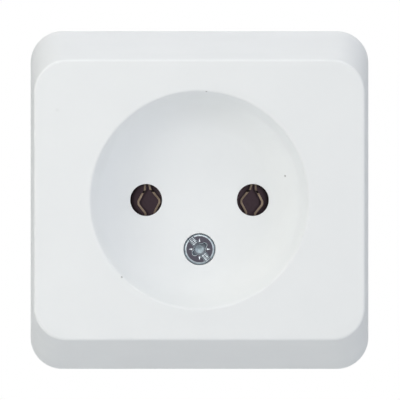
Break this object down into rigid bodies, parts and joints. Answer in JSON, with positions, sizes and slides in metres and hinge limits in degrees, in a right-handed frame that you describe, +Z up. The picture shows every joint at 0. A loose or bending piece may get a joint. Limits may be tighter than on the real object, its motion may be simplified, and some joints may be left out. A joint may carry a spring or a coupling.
{
  "type": "surface-mounted socket",
  "caption": "Square white surface-mounted wall socket: tapered shell cover with a round dished plug recess and pin holes over spring contacts, a dark base behind, one cover screw.",
  "frame": {"origin": "middle of the base's back face, on the wall", "axes": "+X to the right and +Z up as seen from the front, +Y into the wall"},
  "size_m": [0.062, 0.034, 0.062],
  "materials": {
    "white_cover": "white moulded plastic with a soft satin sheen",
    "dark_base": "dark brown pressed thermoset, slightly mottled",
    "contact_brass": "rolled brass strip, dulled",
    "plated_steel": "zinc plated steel",
    "cover_screw_zinc": "bluish zinc plating, dull"
  },
  "bodies": {
    "root": {"cover": "white_cover", "base": "dark_base", "cover_screw": "cover_screw_zinc", "cover_nut": "plated_steel", "left_terminal_bracket": "contact_brass", "left_inner_leaf": "contact_brass", "left_outer_leaf": "contact_brass", "left_rivet": "contact_brass", "left_clamp_plate": "plated_steel", "left_terminal_screw": "plated_steel", "left_terminal_nut": "plated_steel", "right_terminal_bracket": "contact_brass", "right_inner_leaf": "contact_brass", "right_outer_leaf": "contact_brass", "right_rivet": "contact_brass", "right_clamp_plate": "plated_steel", "right_terminal_screw": "plated_steel", "right_terminal_nut": "plated_steel"}
  },
  "joints": []
}
